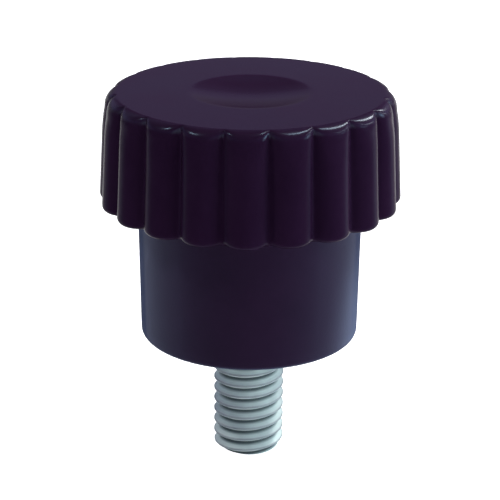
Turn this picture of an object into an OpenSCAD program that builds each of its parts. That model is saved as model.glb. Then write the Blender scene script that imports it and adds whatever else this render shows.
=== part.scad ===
// Knurled knob: a moulded grip with rounded lobes on a plain hub, and a steel stud moulded into the hub.
// The origin is on the knob's axis at the seat face, with +Z towards the top and the stud pointing down.

/* [Grip] */
// Diameter over the lobe tips at the grip's lower edge
grip_d = 25.2; // [23:0.1:30]
// Height of the grip
grip_h = 9.4; // [7:0.1:12]
// Number of lobes round the grip
lobe_count = 20; // [16:1:24]
// Depth of the grooves below the lobe tips
groove_depth = 0.9; // [0.6:0.05:1.1]
// Width of the grooves' floor at the grip's lower edge
groove_floor = 0.25; // [0.2:0.05:0.5]
// Lean of the lobes towards the axis, in degrees
grip_draft = 3.1; // [1:0.1:4]
// Radius of the round along the grip's upper edge
top_edge_r = 1.45; // [0.4:0.05:1.6]
// Radius of the round along the grip's lower edge
low_edge_r = 0.6; // [0.2:0.05:0.8]

/* [Dish] */
// Diameter of the shallow dish in the top face
dish_d = 10; // [6:0.5:14]
// Depth of the dish at its middle
dish_depth = 0.5; // [0.2:0.05:0.8]

/* [Hub] */
// Diameter of the hub at the seat face
hub_d = 18.4; // [17:0.1:19.5]
// Height of the hub, from the seat face to the grip
hub_h = 11.6; // [11:0.1:16]
// Draft of the hub's wall, in degrees
hub_draft = 0.85; // [0.25:0.05:1.5]
// Radius of the round at the seat face's rim
hub_edge_r = 0.4; // [0.2:0.05:0.8]
// Radius of the fillet between the hub and the grip's underside
root_r = 0.4; // [0.2:0.05:0.6]

/* [Stud] */
// Outer diameter of the stud's thread
stud_d = 6; // [5:0.5:8]
// Pitch of the stud's thread
thread_pitch = 1; // [0.8:0.05:1.25]
// Length of the stud below the seat face
stud_length = 10.9; // [6:0.1:30]
// Chamfer on the stud's tip
tip_chamfer = 0.5; // [0.2:0.1:1]
// Length of the plain shank inside the hub, from the seat face to the anchor head
shank_length = 5; // [3:0.1:6]
// Width across the flats of the anchor head
anchor_flats = 10; // [9:0.5:13]
// Height of the anchor head
anchor_h = 4; // [2:0.1:6]

/* [Fit] */
// Gap between the moulding and the embedded part of the stud
mould_gap = 0.02; // [0.01:0.01:0.05]
// Width of the countersink round the stud at the seat face, measured outside the thread
seat_relief = 0.4; // [0.2:0.1:0.8]

/* [Hidden] */
$fn = 96;

// Overlap of pieces that are joined, and overrun of what is trimmed or cut away
overrun = 1;
// Distance that a lobe stops short of its neighbour inside the core
lobe_gap = 0.02;
// The circle that rounds the grip's upper edge stands out past the top face and the lobe tips by this much,
// so that it crosses them at a small angle
edge_step = 0.03;
// A metric thread's pitch diameter is this many pitches smaller than its outer diameter
pitch_drop = 0.65;

// Derived sizes are kept to a thousandth of a millimetre, so that joined outlines meet exactly
function fine(size) = round(size * 1000) / 1000;

grip_r = grip_d / 2;
hub_r = hub_d / 2;
hub_top_r = fine(hub_r + hub_h * tan(hub_draft));
top_z = hub_h + grip_h;

// At the lower edge a lobe's circle runs through the tip and through the edges of both groove floors
half_pitch = 180 / lobe_count;
groove_r = grip_r - groove_depth;
floor_angle = half_pitch - asin(groove_floor / 2 / groove_r);
floor_x = groove_r * cos(floor_angle);
floor_y = groove_r * sin(floor_angle);
lobe_r = fine(((grip_r - floor_x) ^ 2 + floor_y ^ 2) / (2 * (grip_r - floor_x)));
lobe_circle_r = grip_r - lobe_r;

// A leaning lobe's flat foot rises outwards by this much, up to the middle of its round
foot_rise = fine((lobe_r - low_edge_r / 2) * sin(grip_draft));
lobe_length = fine((grip_h + foot_rise) / cos(grip_draft) + 2 * overrun);

// Outline that keeps a lobe to its own pitch
outline_inner = hub_r;
outline_outer = grip_r + overrun;
outline_inner_y = fine(outline_inner * tan(half_pitch) - lobe_gap);
outline_outer_y = fine(outline_outer * tan(half_pitch) - lobe_gap);

// The lobes and the core run on past the top face, which is then cut across both
blank_h = grip_h + overrun;
core_top_r = fine(groove_r - blank_h * tan(grip_draft));

// Middle of the round along the grip's upper edge
edge_x = fine(grip_r - (grip_h - top_edge_r) * tan(grip_draft) - top_edge_r + edge_step);
edge_z = fine(top_z - top_edge_r + edge_step);

dish_sphere_r = ((dish_d / 2) ^ 2 + dish_depth ^ 2) / (2 * dish_depth);

stud_r = stud_d / 2;
shank_d = stud_d - pitch_drop * thread_pitch;
relief_r = stud_r + seat_relief;
shank_hole_r = shank_d / 2 + mould_gap;

// One lobe on its own axis, with a round at its foot
module lobe() {
    rotate_extrude() {
        translate([0, low_edge_r]) square([lobe_r, lobe_length - low_edge_r]);
        square([lobe_r - low_edge_r, 2 * low_edge_r]);
        translate([lobe_r - low_edge_r, low_edge_r]) circle(low_edge_r);
    }
}

// A lobe as it stands in the grip, leaning towards the axis and kept to its own pitch
module leaning_lobe() {
    intersection() {
        translate([lobe_circle_r, 0, -foot_rise])
            rotate([0, -grip_draft, 0])
                lobe();
        linear_extrude(blank_h)
            polygon([
                [outline_inner, -outline_inner_y],
                [outline_outer, -outline_outer_y],
                [outline_outer, outline_outer_y],
                [outline_inner, outline_inner_y]
            ]);
    }
}

// Ring of lobes
module lobes() {
    translate([0, 0, hub_h])
        for (i = [0 : lobe_count - 1])
            rotate(2 * half_pitch * i - 90) leaning_lobe();
}

// All above the top face, with a ring that rounds the grip's edge across lobes and grooves alike
module above_grip() {
    rotate_extrude() {
        translate([0, top_z]) square([grip_r + overrun, 2 * overrun]);
        translate([edge_x, edge_z])
            difference() {
                square(top_edge_r + overrun);
                circle(top_edge_r);
            }
    }
}

// Section of the core that shows as the groove floors, with its lower edge broken inside the lobes' rounds
module core_section() {
    polygon([
        [0, 0],
        [groove_r - low_edge_r, 0],
        [groove_r, low_edge_r / 2],
        [core_top_r, blank_h],
        [0, blank_h]
    ]);
}

// Section of the drafted hub, with a rounded rim below and a fillet at its root
module hub_section() {
    polygon([
        [0, hub_edge_r],
        [hub_r, hub_edge_r],
        [hub_top_r, hub_h - root_r],
        [0, hub_h - root_r]
    ]);
    square([hub_r - hub_edge_r, 2 * hub_edge_r]);
    translate([hub_r - hub_edge_r, hub_edge_r]) circle(hub_edge_r);
    difference() {
        translate([0, hub_h - root_r]) square([hub_top_r + root_r, root_r + overrun]);
        translate([hub_top_r + root_r, hub_h - root_r]) circle(root_r);
    }
}

// Hub and core, turned as one
module hub_and_core() {
    rotate_extrude() {
        hub_section();
        translate([0, hub_h]) core_section();
    }
}

// Part of the stud inside the hub: plain shank and six-sided anchor head, grown by gap
module embedded_stud(gap) {
    cylinder(d = shank_d + 2 * gap, h = shank_length + anchor_h / 2);
    translate([0, 0, shank_length - gap])
        cylinder(d = (anchor_flats + 2 * gap) / cos(30), h = anchor_h + 2 * gap, $fn = 6);
}

// Moulded dark plastic
module knob_body() {
    color([0.13, 0.09, 0.15])
        difference() {
            union() {
                hub_and_core();
                lobes();
            }
            above_grip();
            translate([0, 0, top_z + dish_sphere_r - dish_depth]) sphere(dish_sphere_r);
            cylinder(r1 = relief_r, r2 = shank_hole_r, h = relief_r - shank_hole_r);
            embedded_stud(mould_gap);
        }
}

// Zinc-plated steel, one piece from tip to anchor head
module threaded_stud() {
    color([0.72, 0.76, 0.76]) {
        translate([0, 0, tip_chamfer - stud_length]) cylinder(r = stud_r, h = stud_length - tip_chamfer);
        translate([0, 0, -stud_length]) cylinder(r1 = stud_r - tip_chamfer, r2 = stud_r, h = tip_chamfer);
        embedded_stud(0);
    }
}

knob_body();
threaded_stud();
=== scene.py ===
"""Looks of the knurled knob: moulded body, rolled thread, their materials, the studio and the camera.

Sizes of the knob are in millimetres, as in the solids, and are turned into metres when a mesh is made.
Lamps and the floor are placed in metres.
"""
import math

import bpy
import numpy as np
from mathutils import Matrix, Vector


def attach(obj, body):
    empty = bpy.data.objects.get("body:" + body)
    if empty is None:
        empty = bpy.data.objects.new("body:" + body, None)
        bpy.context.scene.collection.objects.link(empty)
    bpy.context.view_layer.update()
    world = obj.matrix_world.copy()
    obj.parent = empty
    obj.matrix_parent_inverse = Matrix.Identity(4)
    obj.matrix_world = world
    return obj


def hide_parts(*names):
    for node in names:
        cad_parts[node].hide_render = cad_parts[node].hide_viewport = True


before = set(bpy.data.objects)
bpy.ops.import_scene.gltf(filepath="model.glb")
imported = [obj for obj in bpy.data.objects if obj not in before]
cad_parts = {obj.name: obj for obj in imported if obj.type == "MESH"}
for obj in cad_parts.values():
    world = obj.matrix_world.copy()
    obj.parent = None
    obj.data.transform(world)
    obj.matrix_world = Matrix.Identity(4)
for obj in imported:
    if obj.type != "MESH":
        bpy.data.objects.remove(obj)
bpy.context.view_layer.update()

MM = 0.001

# Grip: lobes that lean towards the axis, with a core that shows as the floor of the grooves
GRIP_D = 25.2
GRIP_H = 9.4
LOBE_COUNT = 20
GROOVE_DEPTH = 0.9
GROOVE_FLOOR = 0.25
GRIP_DRAFT = math.radians(3.1)
TOP_EDGE_R = 1.45
EDGE_STEP = 0.03
LOW_EDGE_R = 0.6

# Shallow dish in the top face
DISH_R = 5.0
DISH_DEPTH = 0.5

# Hub
HUB_R = 9.2
HUB_H = 11.6
HUB_DRAFT = math.radians(0.85)
HUB_EDGE_R = 0.4
ROOT_R = 0.4

# Stud, its hidden shank and anchor head, and the moulding's clearance round them
STUD_R = 3.0
STUD_LENGTH = 10.9
TIP_CHAMFER = 0.5
SHANK_R = 2.675
SHANK_LENGTH = 5.0
ANCHOR_FLATS = 10.0
ANCHOR_H = 4.0
ANCHOR_BREAK = 0.1
ANCHOR_FACE = 0.98
MOULD_GAP = 0.02
SEAT_RELIEF = 0.4
RELIEF_BREAK = 0.04

# Thread: where its flanks start and end, in pitches from the middle of a crest, and how much they curve
THREAD_PITCH = 1.0
THREAD_DEPTH = 0.61
FLANK_START = 0.045
FLANK_END = 0.42
FLANK_CURVE = 0.25

# Widths over which corners are rounded off
GROOVE_SOFTNESS = 0.2
SHOULDER_SOFTNESS = 0.6
DISH_RIM_SOFTNESS = 0.06

# Below its middle the upper round runs outwards at this slope, clear of the lobes
SHOULDER_FLARE = 0.35

TOP_Z = HUB_H + GRIP_H
HUB_TOP_R = HUB_R + HUB_H * math.tan(HUB_DRAFT)
GRIP_R = GRIP_D / 2
GROOVE_R = GRIP_R - GROOVE_DEPTH
HALF_PITCH = math.pi / LOBE_COUNT
FLOOR_ANGLE = HALF_PITCH - math.asin(GROOVE_FLOOR / 2 / GROOVE_R)
FLOOR_X = GROOVE_R * math.cos(FLOOR_ANGLE)
FLOOR_Y = GROOVE_R * math.sin(FLOOR_ANGLE)
LOBE_R = ((GRIP_R - FLOOR_X) ** 2 + FLOOR_Y ** 2) / (2 * (GRIP_R - FLOOR_X))
LOBE_CIRCLE_R = GRIP_R - LOBE_R
EDGE_X = GRIP_R - (GRIP_H - TOP_EDGE_R) * math.tan(GRIP_DRAFT) - TOP_EDGE_R + EDGE_STEP
EDGE_Z = GRIP_H - TOP_EDGE_R + EDGE_STEP

# Points round each mesh, and how much closer they lie in the grooves
STEPS_PER_LOBE = 48
STUD_STEPS = 120
GROOVE_CROWDING = 0.5

# Rings along each stretch of the meshes
RIM_RINGS = 8
HUB_RINGS = 9
ROOT_RINGS = 7
FOOT_RINGS = 9
WALL_RINGS = 14
SHOULDER_RINGS = 18
THREAD_ROWS_PER_PITCH = 24

# Places of rings as shares: up the hub's wall, out under the grip and across the stud's tip
HUB_SHARES = (0.08, 0.92)
UNDERSIDE_SHARES = (0.3, 0.6, 0.9)
TIP_SHARES = (0.5, 0.97)

# Height of a ring on the shank that keeps its shading apart from the thread's
SEAT_RING = 0.1

# Rings across the top face: by shares of the way in to a radius, then at radii closest at the dish's rim
TOP_INNER_R = 9.4
TOP_SHARES = (0.06, 0.2, 0.6, 1)
DISH_RADII = (7.6, 6.2, 5.6, 5.35, 5.2, 5.1, 5.0, 4.9, 4.8, 4.65, 4.4, 3.8, 3.0, 2.0, 1.0, 0.4)

# Plastic: scale of its patches, then of its grain with the grain's strength and its depth in metres
PATCH_SCALE = 260
PATCH_DETAIL = 4
GRAIN_SCALE = 3800
GRAIN_DETAIL = 2
GRAIN_STRENGTH = 0.10
GRAIN_DEPTH = 0.00004

# Plastic: colour and roughness by patch, and what colours its gloss and its sheen
PLASTIC_COLOUR = [(0.3, (0.0178, 0.0068, 0.0220)), (0.7, (0.0212, 0.0083, 0.0259))]
PLASTIC_ROUGHNESS = [(0.3, 0.20), (0.7, 0.27)]
PLASTIC_SPECULAR_TINT = (0.50, 0.75, 1.0, 1)
SHEEN_ROUGHNESS = 0.42
SHEEN_TINT = (0.47, 0.66, 1.0, 1)

# Plastic: specular level and sheen by how far the surface turns away, from 0 for face on to 1 for edge on
HUB_LEVEL = [(0.0, 0.03), (0.35, 0.03), (0.6, 0.01), (0.75, 0.0)]
GRIP_LEVEL = [
    (0.0, 0.0),
    (0.3, 0.006),
    (0.5, 0.012),
    (0.68, 0.012),
    (0.71, 0.022),
    (0.755, 0.022),
    (0.81, 0.010),
    (0.9, 0.003),
    (1.0, 0.0),
]
SHOULDER_LEVEL = [(0.5, 1.0), (0.8, 0.15)]
TOP_LEVEL = [(0.35, 0.5), (0.5, 0.0)]
HUB_SHEEN = [(0.05, 0.05), (0.15, 0.44), (0.3, 0.82), (0.65, 0.60), (0.9, 0.35)]
GRIP_SHEEN = [(0.3, 0.0), (0.5, 0.1), (0.62, 0.0)]

# Glossy band of the upper round: specular level by height above the round's middle, and the radii
# between which the top face passes into it
SHOULDER_GLOSS = 0.2
SHOULDER_BAND = [(0.70, 0.0), (0.95, SHOULDER_GLOSS), (1.28, SHOULDER_GLOSS), (1.36, 0.0)]
TOP_FACE_R = 9.0
SHOULDER_R = 10.0

# Plating: scale of its clouds, then of its grain with the grain's strength and its depth in metres
CLOUD_SCALE = 700
CLOUD_DETAIL = 5
PLATING_GRAIN_SCALE = 5200
PLATING_GRAIN_STRENGTH = 0.12
PLATING_GRAIN_DEPTH = 0.00003

# Plating: colour from the thread's root to its crest, with painted shade in the root and darker at the
# crest, and how much clouds dim and roughen it
PLATING_COLOUR_AND_PAINTED_SHADE = [
    (0.0, (0.08, 0.11, 0.11)),
    (0.2, (0.45, 0.55, 0.53)),
    (0.4, (0.79, 0.91, 0.87)),
    (0.8, (0.81, 0.93, 0.89)),
    (0.92, (0.60, 0.69, 0.67)),
    (1.0, (0.34, 0.40, 0.41)),
]
PLATING_CLOUDS = [(0.3, 0.86), (0.7, 1.0)]
PLATING_ROUGHNESS = [(0.3, 0.70), (0.7, 0.60)]
PLATING_SPECULAR_TINT = (0.25, 0.30, 0.36, 1)
PLATING_METALLIC = 0.4

# Room: colour by the height of the direction looked in, from level to straight up
ROOM_COLOUR = [
    (0.0, (0.24, 0.24, 0.26)),
    (0.15, (0.28, 0.28, 0.36)),
    (0.28, (0.36, 0.34, 0.65)),
    (0.36, (0.28, 0.25, 0.50)),
    (0.5, (0.09, 0.08, 0.14)),
    (0.7, (0.03, 0.03, 0.03)),
    (1.0, (0.03, 0.03, 0.03)),
]

# Floor: half its side in metres, its grey and roughness, and how white it shows
FLOOR_HALF = 2.0
FLOOR_GREY = 0.8
FLOOR_ROUGHNESS = 0.9
FLOOR_GLOW = 0.95

# Point that the lamps are turned to, in metres
LAMP_AIM = (0, 0, 0.02)

# Camera, as fitted to the photograph's outline
CAMERA_DISTANCE = 155.53
CAMERA_AZIMUTH = math.radians(1.5)
CAMERA_ELEVATION = math.radians(20.57)
CAMERA_AIM = Vector((0.035, 0, 7.10))
CAMERA_ROLL = math.radians(0.415)
FOCAL_PIXELS = 1840.5
IMAGE_PIXELS = 500
SENSOR = 36.0


def lofted(name, rings, first_pole, last_pole):
    """A smooth mesh through rings of equal length, with each end closed to a point."""
    count = len(rings[0])
    points = np.vstack(rings + [first_pole, last_pole])
    around = np.arange(count)
    after = np.roll(around, -1)
    faces = []
    for row in range(len(rings) - 1):
        low = row * count
        high = low + count
        sides = np.stack([low + around, low + after, high + after, high + around], axis=1)
        faces += sides.tolist()
    pole = len(rings) * count
    last = pole - count
    faces += [[pole, int(b), int(a)] for a, b in zip(around, after)]
    faces += [[pole + 1, last + int(a), last + int(b)] for a, b in zip(around, after)]
    mesh = bpy.data.meshes.new(name)
    mesh.from_pydata((points * MM).tolist(), [], faces)
    mesh.shade_smooth()
    mesh.update()
    piece = bpy.data.objects.new(name, mesh)
    bpy.context.collection.objects.link(piece)
    return piece


def pole_at(z):
    """Point on the axis at a height, as a row of one."""
    return np.array([[0, 0, z]])


def ring(radius, z, angles):
    """Points at the given radii and heights round the axis."""
    radius = np.broadcast_to(radius, angles.shape)
    z = np.broadcast_to(z, angles.shape)
    return np.stack([radius * np.cos(angles), radius * np.sin(angles), z], axis=1)


def soft_max(a, b, width):
    """The larger of two values, with the crossing rounded off over the given width."""
    near = np.maximum(width - np.abs(a - b), 0) / width
    return np.maximum(a, b) + near ** 2 * width / 4


def soft_min(a, b, width):
    """The smaller of two values, with the crossing rounded off over the given width."""
    return -soft_max(-a, -b, width)


def lobe_angles():
    """Angles round the grip, closer together in the grooves than on the lobes."""
    share = np.linspace(-1, 1, STEPS_PER_LOBE, endpoint=False)
    local = HALF_PITCH * (share + GROOVE_CROWDING * np.sin(math.pi * share) / math.pi)
    return np.concatenate([local + 2 * HALF_PITCH * i - math.pi / 2 for i in range(LOBE_COUNT)])


def grip_radius(angles, z, inset):
    """Outline of the grip at height z above its underside, drawn in by inset for the round at its foot."""
    lean = z * math.tan(GRIP_DRAFT)
    axis_r = LOBE_CIRCLE_R - lean
    off = (angles + math.pi / 2 + HALF_PITCH) % (2 * HALF_PITCH) - HALF_PITCH
    reach = (LOBE_R - inset) ** 2 - (axis_r * np.sin(off)) ** 2
    lobe = axis_r * np.cos(off) + np.sqrt(np.maximum(reach, 0))
    lobe = np.where(reach > 0, lobe, 0)
    core = GROOVE_R - lean - inset
    return soft_max(lobe, core, GROOVE_SOFTNESS)


def shoulder_radius(z):
    """Reach of the round along the grip's upper edge at height z above the grip's underside."""
    if z < EDGE_Z:
        return EDGE_X + TOP_EDGE_R + SHOULDER_FLARE * (EDGE_Z - z)
    return EDGE_X + math.sqrt(max(TOP_EDGE_R ** 2 - (z - EDGE_Z) ** 2, 0))


def wall_ring(angles, z):
    """The grip's wall at height z, with soft corners where lobes and grooves run into the upper round."""
    shoulder = np.full(angles.shape, shoulder_radius(z))
    radius = soft_min(grip_radius(angles, z, 0), shoulder, SHOULDER_SOFTNESS)
    return ring(radius, HUB_H + z, angles)


def dish_height(radius):
    """Height of the top face at a radius: flat, with the dish let into it over a soft rim."""
    sphere_r = (DISH_R ** 2 + DISH_DEPTH ** 2) / (2 * DISH_DEPTH)
    sunk = math.sqrt(sphere_r ** 2 - radius ** 2) - (sphere_r - DISH_DEPTH)
    return TOP_Z - float(soft_max(np.array(sunk), np.array(0.0), DISH_RIM_SOFTNESS))


def cavity_section():
    """Radius and height from the roof of the stud's cavity, down and out to the seat face."""
    anchor_r = ANCHOR_FLATS / 2 / math.cos(math.pi / 6) + 2 * MOULD_GAP
    hole_r = SHANK_R + MOULD_GAP
    relief_r = STUD_R + SEAT_RELIEF
    relief_h = relief_r - hole_r
    return [
        (anchor_r, SHANK_LENGTH + ANCHOR_H + MOULD_GAP),
        (anchor_r, SHANK_LENGTH - MOULD_GAP),
        (hole_r, SHANK_LENGTH - MOULD_GAP),
        (hole_r, relief_h + RELIEF_BREAK),
        (hole_r + RELIEF_BREAK, relief_h - RELIEF_BREAK),
        (relief_r - RELIEF_BREAK, RELIEF_BREAK),
        (relief_r + RELIEF_BREAK, 0),
        (HUB_R - 2 * HUB_EDGE_R, 0),
    ]


def hub_section():
    """Radius and height from the seat face's rim up the drafted wall to the fillet under the grip."""
    section = []
    for turn in np.linspace(0, math.pi / 2, RIM_RINGS):
        rim_r = HUB_R - HUB_EDGE_R * (1 - math.sin(turn))
        section.append((rim_r, HUB_EDGE_R * (1 - math.cos(turn))))
    for share in np.linspace(*HUB_SHARES, HUB_RINGS):
        z = HUB_EDGE_R + share * (HUB_H - ROOT_R - HUB_EDGE_R)
        section.append((HUB_R + z * math.tan(HUB_DRAFT), z))
    for turn in np.linspace(0, math.pi / 2, ROOT_RINGS):
        root_r = HUB_TOP_R + ROOT_R * (1 - math.cos(turn))
        section.append((root_r, HUB_H - ROOT_R * (1 - math.sin(turn))))
    return section


def grip_rings(angles):
    """Rings from the fillet under the grip, out over the foot of the lobes and up to the top face."""
    root = HUB_TOP_R + ROOT_R
    foot = grip_radius(angles, 0, LOW_EDGE_R)
    rings = [ring(root + share * (foot - root), HUB_H, angles) for share in UNDERSIDE_SHARES]
    for turn in np.linspace(0, math.pi / 2, FOOT_RINGS):
        z = LOW_EDGE_R * (1 - math.cos(turn))
        inset = LOW_EDGE_R * (1 - math.sin(turn))
        rings.append(ring(grip_radius(angles, z, inset), HUB_H + z, angles))
    for z in np.linspace(LOW_EDGE_R, EDGE_Z, WALL_RINGS)[1:-1]:
        rings.append(wall_ring(angles, z))
    last_turn = math.asin((TOP_EDGE_R - EDGE_STEP) / TOP_EDGE_R)
    for turn in np.linspace(0, last_turn, SHOULDER_RINGS):
        rings.append(wall_ring(angles, EDGE_Z + TOP_EDGE_R * math.sin(turn)))
    return rings


def top_rings(angles, rim):
    """Rings across the top face, from its scalloped rim in to the middle of the dish."""
    rings = [ring(rim + share * (TOP_INNER_R - rim), TOP_Z, angles) for share in TOP_SHARES]
    return rings + [ring(radius, dish_height(radius), angles) for radius in DISH_RADII]


def body_rings(angles):
    """Rings of the body: out of the stud's cavity, under the seat, up the sides and in over the top."""
    rings = [ring(radius, z, angles) for radius, z in cavity_section() + hub_section()]
    rings += grip_rings(angles)
    rim = np.linalg.norm(rings[-1][:, :2], axis=1)
    return rings + top_rings(angles, rim)


def knob_body():
    roof = pole_at(SHANK_LENGTH + ANCHOR_H + MOULD_GAP)
    middle = pole_at(dish_height(0))
    piece = lofted("moulded_body", body_rings(lobe_angles()), roof, middle)
    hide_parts("knob_body")
    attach(piece, "root")
    return piece


def thread_drop(turns):
    """Depth below the crest for a place along the thread, in whole pitches from the middle of a crest."""
    away = np.abs((turns + 0.5) % 1 - 0.5)
    share = np.clip((away - FLANK_START) / (FLANK_END - FLANK_START), 0, 1)
    curved = share * share * (3 - 2 * share)
    return THREAD_DEPTH * ((1 - FLANK_CURVE) * share + FLANK_CURVE * curved)


def stud_rings(angles):
    """Rings of the stud: from its tip up the thread to the seat, then its shank and anchor head."""
    rows = int(STUD_LENGTH / THREAD_PITCH * THREAD_ROWS_PER_PITCH)
    end_r = STUD_R - TIP_CHAMFER
    rings = [ring(share * end_r, -STUD_LENGTH, angles) for share in TIP_SHARES]
    for z in np.linspace(-STUD_LENGTH, 0, rows + 1):
        turns = z / THREAD_PITCH - angles / (2 * math.pi)
        thread = STUD_R - thread_drop(turns)
        bevel = end_r + (z + STUD_LENGTH)
        rings.append(ring(np.minimum(thread, bevel), z, angles))
    six = (angles + math.pi / 6) % (math.pi / 3) - math.pi / 6
    head = ANCHOR_FLATS / 2 / np.cos(six)
    face = head * ANCHOR_FACE
    top = SHANK_LENGTH + ANCHOR_H
    return rings + [
        ring(SHANK_R, 0, angles),
        ring(SHANK_R, SEAT_RING, angles),
        ring(SHANK_R, SHANK_LENGTH, angles),
        ring(face, SHANK_LENGTH, angles),
        ring(head, SHANK_LENGTH + ANCHOR_BREAK, angles),
        ring(head, top - ANCHOR_BREAK, angles),
        ring(face, top, angles),
    ]


def threaded_stud():
    angles = np.linspace(0, 2 * math.pi, STUD_STEPS, endpoint=False)
    tip = pole_at(-STUD_LENGTH)
    top = pole_at(SHANK_LENGTH + ANCHOR_H)
    piece = lofted("rolled_thread_stud", stud_rings(angles), tip, top)
    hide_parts("threaded_stud")
    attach(piece, "root")
    return piece


def node_material(name):
    """A new node material: (material, its nodes, a function that links two sockets, its shader)."""
    material = bpy.data.materials.new(name)
    material.use_nodes = True
    tree = material.node_tree
    return material, tree.nodes, tree.links.new, tree.nodes["Principled BSDF"]


def noise(nodes, link, place, scale, detail):
    """A noise texture at a place socket."""
    node = nodes.new("ShaderNodeTexNoise")
    node.inputs["Scale"].default_value = scale
    node.inputs["Detail"].default_value = detail
    link(place, node.inputs["Vector"])
    return node.outputs["Fac"]


def ramp(nodes, link, source, stops):
    """A colour ramp over a value: stops are (place, colour)."""
    node = nodes.new("ShaderNodeValToRGB")
    elements = node.color_ramp.elements
    while len(elements) < len(stops):
        elements.new(1.0)
    for element, (place, colour) in zip(elements, stops):
        element.position = place
        element.color = (*colour, 1)
    link(source, node.inputs["Fac"])
    return node.outputs["Color"]


def grey_ramp(nodes, link, source, stops):
    """A ramp of plain values: stops are (place, value)."""
    return ramp(nodes, link, source, [(place, (value, value, value)) for place, value in stops])


def bump(nodes, link, height, strength, distance):
    """Normals of a fine relief: distance is its depth in metres."""
    node = nodes.new("ShaderNodeBump")
    node.inputs["Strength"].default_value = strength
    node.inputs["Distance"].default_value = distance
    link(height, node.inputs["Height"])
    return node.outputs["Normal"]


def mixed(nodes, link, blend, first, second, share=1.0):
    """Two sockets put together by a mix node's blend type; share is a number or a socket."""
    node = nodes.new("ShaderNodeMix")
    node.data_type = "RGBA"
    node.blend_type = blend
    if isinstance(share, float):
        node.inputs["Factor"].default_value = share
    else:
        link(share, node.inputs["Factor"])
    link(first, node.inputs["A"])
    link(second, node.inputs["B"])
    return node.outputs["Result"]


def larger(nodes, link, first, second):
    """The larger of two value sockets."""
    node = nodes.new("ShaderNodeMath")
    node.operation = "MAXIMUM"
    link(first, node.inputs[0])
    link(second, node.inputs[1])
    return node.outputs["Value"]


def share_between(nodes, link, value, start, end):
    """A length socket as a share of the way between two sizes in millimetres."""
    node = nodes.new("ShaderNodeMapRange")
    node.inputs["From Min"].default_value = start * MM
    node.inputs["From Max"].default_value = end * MM
    link(value, node.inputs["Value"])
    return node.outputs["Result"]


def axis_distance(nodes, link, place):
    """Distance of a place socket from the knob's axis."""
    across = nodes.new("ShaderNodeVectorMath")
    across.operation = "MULTIPLY"
    across.inputs[1].default_value = (1, 1, 0)
    link(place, across.inputs[0])
    reach = nodes.new("ShaderNodeVectorMath")
    reach.operation = "LENGTH"
    link(across.outputs["Vector"], reach.inputs[0])
    return reach.outputs["Value"]


def height_of(nodes, link, place):
    """Height of a place or direction socket."""
    split = nodes.new("ShaderNodeSeparateXYZ")
    link(place, split.inputs["Vector"])
    return split.outputs["Z"]


def moulded_plastic():
    """Near-black plastic with a purple cast and a fine grain.

    The hub has a bluish sheen. The upper round is glossy, and so is the top face where it is seen steeply.
    """
    material, nodes, link, shader = node_material("moulded_plastic")
    place = nodes.new("ShaderNodeTexCoord").outputs["Object"]
    patches = noise(nodes, link, place, PATCH_SCALE, PATCH_DETAIL)
    link(ramp(nodes, link, patches, PLASTIC_COLOUR), shader.inputs["Base Color"])
    link(grey_ramp(nodes, link, patches, PLASTIC_ROUGHNESS), shader.inputs["Roughness"])
    grain = noise(nodes, link, place, GRAIN_SCALE, GRAIN_DETAIL)
    link(bump(nodes, link, grain, GRAIN_STRENGTH, GRAIN_DEPTH), shader.inputs["Normal"])

    height = share_between(nodes, link, height_of(nodes, link, place), 0, TOP_Z)
    grip_stops = [((HUB_H - ROOT_R) / TOP_Z, 0.0), (HUB_H / TOP_Z, 1.0)]
    on_grip = grey_ramp(nodes, link, height, grip_stops)
    shoulder_stops = [((HUB_H + EDGE_Z + z) / TOP_Z, level) for z, level in SHOULDER_BAND]
    on_shoulder = grey_ramp(nodes, link, height, shoulder_stops)
    outside = share_between(nodes, link, axis_distance(nodes, link, place), TOP_FACE_R, SHOULDER_R)
    inside = grey_ramp(nodes, link, outside, [(0.0, 1.0), (1.0, 0.0)])

    facing = nodes.new("ShaderNodeLayerWeight").outputs["Facing"]
    hub_level = grey_ramp(nodes, link, facing, HUB_LEVEL)
    grip_level = grey_ramp(nodes, link, facing, GRIP_LEVEL)
    walls = mixed(nodes, link, "MIX", hub_level, grip_level, on_grip)
    rim = mixed(nodes, link, "MULTIPLY", on_shoulder, outside)
    rim = mixed(nodes, link, "MULTIPLY", rim, grey_ramp(nodes, link, facing, SHOULDER_LEVEL))
    top = mixed(nodes, link, "MULTIPLY", on_grip, inside)
    top = mixed(nodes, link, "MULTIPLY", top, grey_ramp(nodes, link, facing, TOP_LEVEL))
    edges = mixed(nodes, link, "LIGHTEN", walls, rim)
    link(mixed(nodes, link, "LIGHTEN", edges, top), shader.inputs["Specular IOR Level"])
    shader.inputs["Specular Tint"].default_value = PLASTIC_SPECULAR_TINT

    hub_sheen = grey_ramp(nodes, link, facing, HUB_SHEEN)
    grip_sheen = grey_ramp(nodes, link, facing, GRIP_SHEEN)
    link(mixed(nodes, link, "MIX", hub_sheen, grip_sheen, on_grip), shader.inputs["Sheen Weight"])
    shader.inputs["Sheen Roughness"].default_value = SHEEN_ROUGHNESS
    shader.inputs["Sheen Tint"].default_value = SHEEN_TINT
    return material


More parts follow.
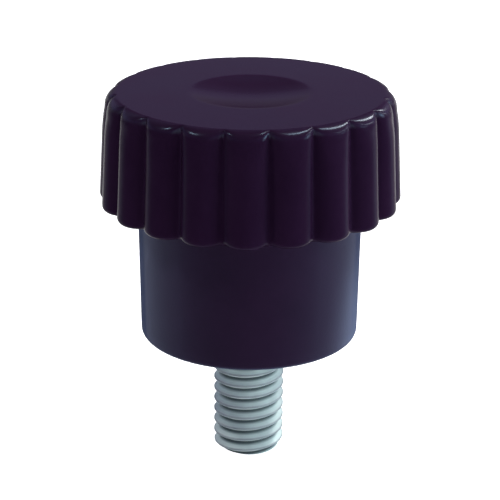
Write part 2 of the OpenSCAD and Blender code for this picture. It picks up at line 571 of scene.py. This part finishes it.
def zinc_plating():
    """Cool grey zinc with faint clouds and painted shade in the thread's root, lightest on its flanks and
    darker at its crest.
    """
    material, nodes, link, shader = node_material("zinc_plating")
    place = nodes.new("ShaderNodeTexCoord").outputs["Object"]
    clouds = noise(nodes, link, place, CLOUD_SCALE, CLOUD_DETAIL)
    up_flank = share_between(nodes, link, axis_distance(nodes, link, place), STUD_R - THREAD_DEPTH, STUD_R)
    # Painted shade: the colour darkens into the thread's root by distance from the axis, and is darker
    # again at the crest.
    zinc_with_painted_shade = ramp(nodes, link, up_flank, PLATING_COLOUR_AND_PAINTED_SHADE)
    dimmed = grey_ramp(nodes, link, clouds, PLATING_CLOUDS)
    link(mixed(nodes, link, "MULTIPLY", zinc_with_painted_shade, dimmed), shader.inputs["Base Color"])
    link(grey_ramp(nodes, link, clouds, PLATING_ROUGHNESS), shader.inputs["Roughness"])
    grain = noise(nodes, link, place, PLATING_GRAIN_SCALE, GRAIN_DETAIL)
    relief = bump(nodes, link, grain, PLATING_GRAIN_STRENGTH, PLATING_GRAIN_DEPTH)
    link(relief, shader.inputs["Normal"])
    shader.inputs["Metallic"].default_value = PLATING_METALLIC
    shader.inputs["Specular Tint"].default_value = PLATING_SPECULAR_TINT
    return material


def white_floor():
    """Pale floor, white to the camera, in reflections and through glass, that keeps a soft shadow."""
    material, nodes, link, shader = node_material("white_floor")
    shader.inputs["Base Color"].default_value = (FLOOR_GREY, FLOOR_GREY, FLOOR_GREY, 1)
    shader.inputs["Roughness"].default_value = FLOOR_ROUGHNESS
    shader.inputs["Specular IOR Level"].default_value = 0.0
    path = nodes.new("ShaderNodeLightPath").outputs
    seen = larger(nodes, link, path["Is Camera Ray"], path["Is Glossy Ray"])
    shown = larger(nodes, link, seen, path["Is Transmission Ray"])
    glow = nodes.new("ShaderNodeMath")
    glow.operation = "MULTIPLY"
    glow.inputs[1].default_value = FLOOR_GLOW
    link(shown, glow.inputs[0])
    link(glow.outputs["Value"], shader.inputs["Emission Strength"])
    shader.inputs["Emission Color"].default_value = (1, 1, 1, 1)
    return material


def floor():
    z = -STUD_LENGTH * MM
    corners = [(-1, -1), (1, -1), (1, 1), (-1, 1)]
    mesh = bpy.data.meshes.new("floor")
    mesh.from_pydata([(x * FLOOR_HALF, y * FLOOR_HALF, z) for x, y in corners], [], [(0, 1, 2, 3)])
    piece = bpy.data.objects.new("floor", mesh)
    bpy.context.collection.objects.link(piece)
    mesh.materials.append(white_floor())


def studio_world():
    """Dim room: grey near the floor, violet a little higher and nearly dark overhead."""
    world = bpy.data.worlds.new("studio")
    bpy.context.scene.world = world
    world.use_nodes = True
    nodes = world.node_tree.nodes
    link = world.node_tree.links.new
    direction = nodes.new("ShaderNodeTexCoord").outputs["Generated"]
    tone = ramp(nodes, link, height_of(nodes, link, direction), ROOM_COLOUR)
    link(tone, nodes["Background"].inputs["Color"])
    nodes["Background"].inputs["Strength"].default_value = 1.0


def softbox(name, place, along, size, power, colour=(1, 1, 1)):
    """A rectangular lamp in metres and watts, turned to the knob with its length along a direction."""
    lamp = bpy.data.lights.new(name, "AREA")
    lamp.shape = "RECTANGLE"
    lamp.size, lamp.size_y = size
    lamp.energy = power
    lamp.color = colour
    holder = bpy.data.objects.new(name, lamp)
    bpy.context.collection.objects.link(holder)
    back = (Vector(place) - Vector(LAMP_AIM)).normalized()
    side = Vector(along)
    side = (side - back * side.dot(back)).normalized()
    turn = Matrix((side, back.cross(side), back)).transposed().to_4x4()
    holder.matrix_world = Matrix.Translation(place) @ turn


def studio_lights():
    """Strips and a small box for the glints along the upper round, and two large boxes for the walls."""
    softbox("back_strip", (0.178, 0.114, 0.312), (0.307, 0.809, -0.50), (0.40, 0.04), 1.5)
    softbox("right_strip", (0.330, 0.035, 0.159), (0.05, 0.935, -0.351), (0.28, 0.008), 0.15)
    softbox("left_box", (-0.215, -0.087, 0.293), (0, 1, 0), (0.04, 0.035), 0.24)
    softbox("front_fill", (0.02, -0.42, 0.06), (1, 0, 0), (0.24, 0.12), 0.13)
    softbox("right_panel", (0.36, -0.08, 0.06), (0, 1, 0), (0.20, 0.10), 0.60, (0.72, 0.88, 1.0))


def camera():
    """The photograph's camera, raised above the knob, aimed at a point on it and rolled a little."""
    data = bpy.data.cameras.new("camera")
    data.sensor_fit = "HORIZONTAL"
    data.sensor_width = SENSOR
    data.lens = FOCAL_PIXELS / IMAGE_PIXELS * SENSOR
    data.clip_start = 0.01
    holder = bpy.data.objects.new("camera", data)
    bpy.context.collection.objects.link(holder)
    level = Vector((math.sin(CAMERA_AZIMUTH), -math.cos(CAMERA_AZIMUTH), 0))
    back = level * math.cos(CAMERA_ELEVATION) + Vector((0, 0, math.sin(CAMERA_ELEVATION)))
    right = Vector((math.cos(CAMERA_AZIMUTH), math.sin(CAMERA_AZIMUTH), 0))
    up = back.cross(right)
    rolled_right = right * math.cos(CAMERA_ROLL) + up * math.sin(CAMERA_ROLL)
    rolled_up = back.cross(rolled_right)
    turn = Matrix((rolled_right, rolled_up, back)).transposed().to_4x4()
    holder.matrix_world = Matrix.Translation((CAMERA_AIM + back * CAMERA_DISTANCE) * MM) @ turn
    bpy.context.scene.camera = holder


camera()
floor()
studio_world()
studio_lights()
knob_body().data.materials.append(moulded_plastic())
threaded_stud().data.materials.append(zinc_plating())

bpy.context.scene.view_settings.view_transform = "Standard"
